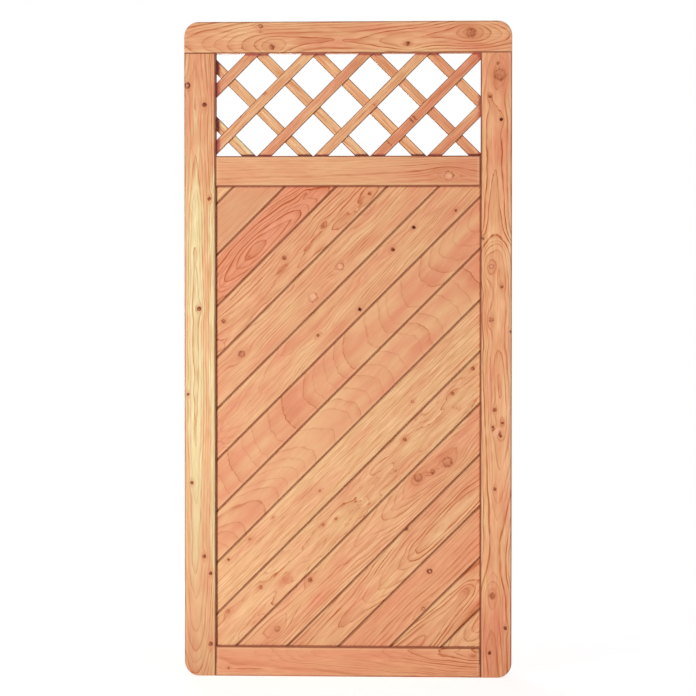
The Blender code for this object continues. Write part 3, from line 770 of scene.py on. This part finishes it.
board_timber = {
    1: dict(red=0.3, lines=0.3, pith_across=-90, pith_depth=70, streaks=0.5),
    2: dict(red=0.55, patches=1, lines=0.2, pith_across=-120, pith_depth=60, streaks=0.35, shade=0.93),
    3: dict(red=1.1, lines=1.3, shade=1.02, ring_width=6.4, wander=8, line_width=8,
            pith_across=[(-376, -16), (-263, -16), (-185, -22), (-110, -36), (0, -40)],
            pith_depth=[(-376, 44), (-354, 36), (-320, 29), (-285, 21), (-263, 20), (-185, 28), (-145, 36),
                        (-115, 44), (-60, 58), (0, 70)],
            knots=[(-252, 1181, 5, -0.2, 0.3, 7, 2), (-118, 1326, 4, 0, 0, 8, 2),
                   (-272, 1158, 2.5, 0, 0, 3, 2.5), (-160, 1254, 2.2, 0, 0, 3, 3)]),
    4: dict(red=0.5, lines=0.85, pith_across=-30, ring_width=7, wander=20,
            pith_depth=[(-370, 40), (-270, 50), (-110, 42), (0, 34), (70, 40)],
            knots=[(-68, 1241, 6.5, 0.2, 0, 9), (-175, 1153, 7, 0.3), (-343, 978, 7, 0.3),
                   (60, 1329, 5.5, 0.25, 0, 8), (-91, 1206, 3.2, -0.2, 0, 3, 7),
                   (-110, 1181, 5, -0.12, 0, 4, 3.5), (-181, 1122, 5, -0.12, 0, 4, 5.5),
                   (38, 1313, 2.5, -0.2, 0, 3, 6)]),
    5: dict(red=0.42, lines=0.5, streaks=0.6, pith_across=60, pith_depth=50, wander=22,
            knots=[(-22, 1129, 14, 0.2, 1, 12), (-293, 887, 11, 0.3, 0.2, 13),
                   (-97, 1045, 18, 0.15, 1, 12), (58, 1288, 6.5, 0.1, 0.8)]),
    6: dict(red=0.42, lines=0.5, streaks=0.6, wander=20,
            pith_across=[(-370, -10), (-250, 0), (-100, 30), (360, 62)],
            pith_depth=[(-370, 70), (-320, 54), (-250, 46), (-100, 42), (360, 46)],
            knots=[(181, 1236, 5.5, 0.95), (123, 1175, 6, 0.65), (33, 1011, 6, 1),
                   (-82, 939, 4.5, 0.45, 0, 9), (296, 1282, 4.5, 0.5)]),
    7: dict(red=0.6, lines=0.65, ring_width=13, wander=11, streaks=0.2, line_width=6.5,
            pith_across=[(-370, -26), (-100, -28), (100, -14), (250, -3), (370, 4)],
            pith_depth=[(-370, 317), (0, 186), (370, 55)]),
    8: dict(red=0.5, lines=0.6, ring_width=12, wander=11, streaks=0.2, line_width=6.5,
            pith_across=[(-370, -34), (-100, -22), (100, -10), (370, 0)],
            pith_depth=[(-370, 60), (0, 190), (370, 320)]),
    9: dict(red=0.05, lines=0.45, pith_across=-150, pith_depth=45, ring_width=5, wander=8, streaks=1.2,
            knots=[(-271, 376, 4, 0.2), (-206, 437, 3.5, 0), (-77, 511, 4, 0.15), (178, 758, 5, 0.3, 0.4),
                   (-330, 320, 4, 0.5)]),
    10: dict(red=0.25, lines=0.8, shade=0.99, pith_across=-10, pith_depth=70, wander=50, ring_width=7,
             knots=[(288, 780, 6, 0.3, 0, 9), (343, 849, 5.5, 0.35), (-69, 417, 5, 0.15),
                    (-33, 434, 4, 0.2), (-241, 244, 6, 0.1), (-173, 266, 10, -0.3),
                    (-332, 178, 5.5, 0.15), (156, 654, 6, 0.35)]),
    11: dict(red=0.45, lines=0.95, pith_across=16, wander=16, ring_width=6.4,
             pith_depth=[(-370, 48), (-100, 60), (60, 52), (200, 36), (370, 34)],
             knots=[(274, 592, 17, 0.15, 0.2, 17), (233, 565, 8, 0.25), (193, 549, 14, 0.2, 0.15, 14),
                    (-104, 266, 8, 0.35), (-195, 129, 10, 0.15, 0.2, 14)]),
    12: dict(red=0.5, lines=0.9, shade=0.99, pith_across=-16, ring_width=6, wander=12,
             pith_depth=[(-370, 70), (0, 66), (60, 60), (110, 50), (156, 42), (192, 34), (260, 30),
                         (370, 36)],
             knots=[(162, 406, 5, 0.6)]),
    13: dict(red=0.66, patches=0.8, lines=0.5, streaks=0.55, shade=1.02, pith_across=-60, pith_depth=50,
             ring_width=6.4,
             knots=[(225, 291, 8.5, 0.55, 0.5), (208, 187, 7, 0.2, 0.2)]),
    14: dict(red=0.5, lines=1.4, line_width=8.5, pith_across=4, ring_width=8, wander=12,
             pith_depth=[(100, 30), (200, 40), (290, 52), (370, 64)],
             knots=[(325, 236, 10, 0, 0.2)]),
    15: dict(red=0.3, lines=0.55, shade=1.02, pith_across=17, ring_width=6.4, wander=8,
             pith_depth=[(280, 60), (335, 44), (400, 26)]),
}
# Painted shade in the corners where the boards go into the frame's groove.
board_groove_shade = {"Half Width": 364, "Foot": 82, "Head": 1349, "Lean": 0, "Side Reach": 4.2,
                       "Reach": 4.2, "Amount": 0.75, "Tint": seam_stain_and_shade}

for number, timber in board_timber.items():
    node = f"infill_board_{number:02d}"
    shift = board_first_shift - (number - 1) * board_cover
    centre = point_across(board_slope, shift + board_face / 2, board_opening_middle)
    # The stain along each board's edges paints the shade in its V-joints.
    finish = larch(node, centre, board_slope, seed=10.0 + number * 1.7, half_width=board_face / 2,
                   half_depth=board_thickness / 2, stain=0.62, stain_reach=4.2,
                   opening=board_groove_shade, **timber)
    mesh = laid_stick(node, board_outline(), finish, board_slope, shift, board_opening,
                      board_opening_middle, board_stock_length, board_arris)
    piece = smooth_piece(f"board_{number:02d}", mesh, finish)
    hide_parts(node)

# The lattice: two layers of 28 mm larch slats, the front ones rising and the back ones falling,
# let into the same groove as the boards and stapled to each other from behind.
slat_width = 28.0
slat_pitch = 110.4
slat_inner = 0.15
slat_outer = 9.5
slat_thickness = slat_outer - slat_inner
slat_arris = 0.0005
slat_stock_length = 1.6
lattice_middle = 1.5725
lattice_opening = (728.0, 281.0)
# A painted shadow of the left stile over the slats' left ends, and painted shade at their feet and heads.
lattice_painted_shadow = {"Half Width": 366, "Foot": 1432, "Head": 1713, "Lean": 3, "Side Reach": 15.0,
                 "Reach": 7.5, "Amount": 0.85, "Tint": wine_painted_shadow}
front_shift = -46.5
back_shift = 39.0


def slat_outline(side):
    """A slat between two depths on one side of the lattice's middle, its edges eased."""
    half, ease = slat_width / 2, 1.0
    right = [(half - ease, slat_inner), (half, slat_inner + ease), (half, slat_outer - ease),
             (half - ease, slat_outer)]
    ring = right + [(-across, depth) for across, depth in reversed(right)]
    return [(across, side * depth) for across, depth in ring]


slat_layers = {
    "front": (-1, math.radians(45), front_shift, 40, {
        1: dict(red=0.8, shade=0.94),
        2: dict(red=0.3, shade=0.98, knots=[(-228, 1604, 3.5, 0.1, 0, 4, 1.6), (-296, 1541, 3, 0.6)]),
        3: dict(red=0.52, shade=0.97),
        4: dict(red=0.25, knots=[(74, 1571, 7, -0.2, 0, 3, 0.4)]),
        5: dict(red=1.1, shade=0.99, knots=[
            (181, 1538, 12, 0.35, 0, 3, 0.25), (173, 1530, 12, 0.35, 0, 3, 0.25),
            (112, 1469, 12, 0.35, 0, 3, 0.22)]),
        6: dict(red=0.85)}),
    "back": (1, math.radians(-45), back_shift, 60, {
        1: dict(red=-0.4, patches=0.8, sap_from=36), 2: dict(red=-0.25), 3: dict(red=0.1),
        4: dict(red=0.1, shade=1.05), 5: dict(red=0.75), 6: dict(red=0.38, shade=1.04)}),
}
lattice_lines = {"front": [], "back": []}
for word, (side, slope, offset, first_seed, slats) in slat_layers.items():
    for number, timber in slats.items():
        node = f"{word}_slat_{number}"
        low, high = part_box(node)
        middle = Vector([(a + b) / 2 for a, b in zip(low, high)])
        away = middle - Vector((0, 0, lattice_middle))
        lean_to = 1000 * (-away.x * math.sin(slope) + away.z * math.cos(slope))
        shift = offset + slat_pitch * round((lean_to - offset) / slat_pitch)
        lattice_lines[word].append(shift)
        centre = point_across(slope, shift, lattice_middle, side * (slat_inner + slat_outer) / 2)
        # The stain along each slat's edges paints the shade of its arrises.
        finish = larch(node, centre, slope, seed=first_seed + number * 2.3, pith_depth=30,
                       pith_across=-25 + 11 * number, ring_width=5.0, lines=0.6, streaks=1.35,
                       half_width=slat_width / 2, half_depth=slat_thickness / 2, stain=0.8,
                       stain_reach=2.8, opening=lattice_painted_shadow, **timber)
        mesh = laid_stick(node, slat_outline(side), finish, slope, shift, lattice_opening,
                          lattice_middle, slat_stock_length, slat_arris)
        piece = smooth_piece(f"{word}_lattice_slat_{number}", mesh, finish)
        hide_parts(node)

# The fixings: a flat stainless staple through each crossing of the slats, and twelve countersunk
# stainless screws with star sockets, which hold the tenons from behind.


def steel_finish():
    """Plain drawn stainless wire and screw steel, faintly scratched."""
    finish, tree = blank_material("stainless_steel")
    place = fitted(tree, "ShaderNodeTexCoord").outputs["Object"]
    grit = fitted(tree, "ShaderNodeTexNoise", {"Vector": place, "Scale": 900.0, "Detail": 3.0}).outputs[0]
    cloud = fitted(tree, "ShaderNodeTexNoise", {"Vector": place, "Scale": 120.0, "Detail": 2.0}).outputs[0]
    colour = blended(cloud, tone(182, 180, 176), tone(214, 212, 207))
    rough = times_plus(grit, 0.2, 0.22)
    bump = fitted(tree, "ShaderNodeBump", {"Strength": 0.3, "Distance": 0.00002, "Height": grit})
    skin = fitted(tree, "ShaderNodeBsdfPrincipled", {
        "Base Color": colour, "Metallic": 1.0, "Roughness": rough, "Normal": bump.outputs[0]})
    fitted(tree, "ShaderNodeOutputMaterial", {"Surface": skin.outputs[0]})
    return finish


def make_fixing_tree():
    """One fixing set at every point of the base, turned the same way."""
    tree, given, result = node_group("fixings", "Geometry", {
        "Geometry": ("Geometry",), "Object": ("Fixing",), "Float": ("Turn",), "Material": ("Finish",),
    }, {"Geometry": ("Geometry",)})
    shape = fitted(tree, "GeometryNodeObjectInfo", {"Object": given["Fixing"]}).outputs["Geometry"]
    turn = fitted(tree, "ShaderNodeCombineXYZ", {"Y": given["Turn"]}).outputs[0]
    copies = fitted(tree, "GeometryNodeInstanceOnPoints", {
        "Points": given["Geometry"], "Instance": shape, "Rotation": turn}).outputs[0]
    single = fitted(tree, "GeometryNodeRealizeInstances", (copies,)).outputs[0]
    done = fitted(tree, "GeometryNodeSetMaterial", {"Geometry": single, "Material": given["Finish"]})
    tree.links.new(done.outputs[0], result["Geometry"])
    return tree


def set_fixings(name, points, shape, turn):
    """Copies of a shape mesh at some points, as one mesh."""
    spots = bpy.data.meshes.new(f"{name}_points")
    spots.from_pydata(points, [], [])
    pattern = bpy.data.objects.new(f"{name}_pattern", shape)
    scene.collection.objects.link(pattern)
    mesh = grown_mesh(name, spots, fixing_tree, {"Fixing": pattern, "Turn": turn, "Finish": steel})
    bpy.data.objects.remove(pattern)
    return mesh


def ringed_mesh(name, rings, steps):
    """A closed shape from rings along Y: each gives its depth and a radius for every angle."""
    shape = bmesh.new()
    loops = []
    for depth, radius in rings:
        loop = []
        for step in range(steps):
            angle = 2 * math.pi * step / steps
            reach = radius(angle)
            loop.append(shape.verts.new((reach * math.cos(angle), depth, reach * math.sin(angle))))
        loops.append(loop)
    for lower, upper in zip(loops, loops[1:]):
        for step in range(steps):
            after = (step + 1) % steps
            shape.faces.new((lower[step], lower[after], upper[after], upper[step]))
    shape.faces.new(loops[0][::-1])
    shape.faces.new(loops[-1])
    bmesh.ops.recalc_face_normals(shape, faces=shape.faces)
    mesh = bpy.data.meshes.new(name)
    shape.to_mesh(mesh)
    shape.free()
    return mesh


def plain_ring(radius):
    """The same radius all round."""
    return lambda angle: radius


def star_ring(radius, lobe):
    """A six-pointed socket's radius."""
    return lambda angle: radius + lobe * math.cos(6 * angle)


def thread_ring(core, crest, depth, pitch):
    """A radius that climbs to the thread's crest once in a turn."""
    def radius(angle):
        phase = (depth / pitch + angle / (2 * math.pi)) % 1
        return core + (crest - core) * max(0.0, 1 - abs(phase - 0.5) * 4)
    return radius


def screw_rings():
    """From the point, up the thread and the plain neck, over the head and down into its star."""
    length, taper, neck, pitch = 0.0347, 0.006, 0.010, 0.0021
    core, crest, shank, head, lobe = 0.0014, 0.0022, 0.0016, 0.0043, 0.0003
    rings = [(-length, plain_ring(0.0002)), (-length + 0.0012, plain_ring(0.0007))]
    depth = -length + 0.0024
    while depth < -neck:
        rise = min(1.0, (depth + length) / taper)
        rings.append((depth, thread_ring(core * rise, crest * rise, depth, pitch)))
        depth += pitch / 6
    rings += [(-neck + 0.0004, plain_ring(shank)), (-0.0031, plain_ring(shank))]
    rings += [(-0.0005, plain_ring(head)), (-0.0001, plain_ring(head + 0.0001)), (0.0, plain_ring(head))]
    rings += [(0.0, star_ring(0.0019, lobe)), (-0.0002, star_ring(0.00175, lobe))]
    rings += [(-0.0019, star_ring(0.00165, lobe)), (-0.0022, plain_ring(0.0008))]
    return rings


fixing_tree = make_fixing_tree()
steel = steel_finish()

screw_nodes = [f"screw_{row}_{side}_{number}" for row in ("top", "middle", "bottom")
               for side in ("left", "right") for number in (1, 2)]
screw_seats = []
for node in screw_nodes:
    low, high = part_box(node)
    screw_seats.append(((low[0] + high[0]) / 2, high[1], (low[2] + high[2]) / 2))
screw_steps = 24
screw_turn = 0.3
mesh = set_fixings("screws", screw_seats, ringed_mesh("screw", screw_rings(), screw_steps), screw_turn)
screws = smooth_piece("tenon_screws", mesh, steel)
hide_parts(*screw_nodes)

staple_clear = 0.012
staple_room_x = lattice_opening[0] / 2000 - staple_clear
staple_room_z = lattice_opening[1] / 2000 - staple_clear
crossings = []
for front in lattice_lines["front"]:
    for back in lattice_lines["back"]:
        x = (back - front) / math.sqrt(2) / 1000
        z = lattice_middle + (back + front) / math.sqrt(2) / 1000
        if abs(x) < staple_room_x and abs(z - lattice_middle) < staple_room_z:
            crossings.append((x, slat_outer / 1000, z))
crown, leg, leg_width, wire, proud = 0.0105, 0.0150, 0.0011, 0.0006, 0.0003
staple = bmesh.new()
for low, high in (((-crown / 2, -wire + proud, -wire), (crown / 2, proud, wire)),
                  ((-crown / 2, -leg, -wire), (-crown / 2 + leg_width, proud - wire, wire)),
                  ((crown / 2 - leg_width, -leg, -wire), (crown / 2, proud - wire, wire))):
    block = bmesh.ops.create_cube(staple, size=1.0)["verts"]
    for vert in block:
        vert.co = [a if c < 0 else b for a, b, c in zip(low, high, vert.co)]
staple_mesh = bpy.data.meshes.new("staple")
staple.to_mesh(staple_mesh)
staple.free()
staples = smooth_piece("lattice_staples", set_fixings("staples", crossings, staple_mesh, 0.0), steel)
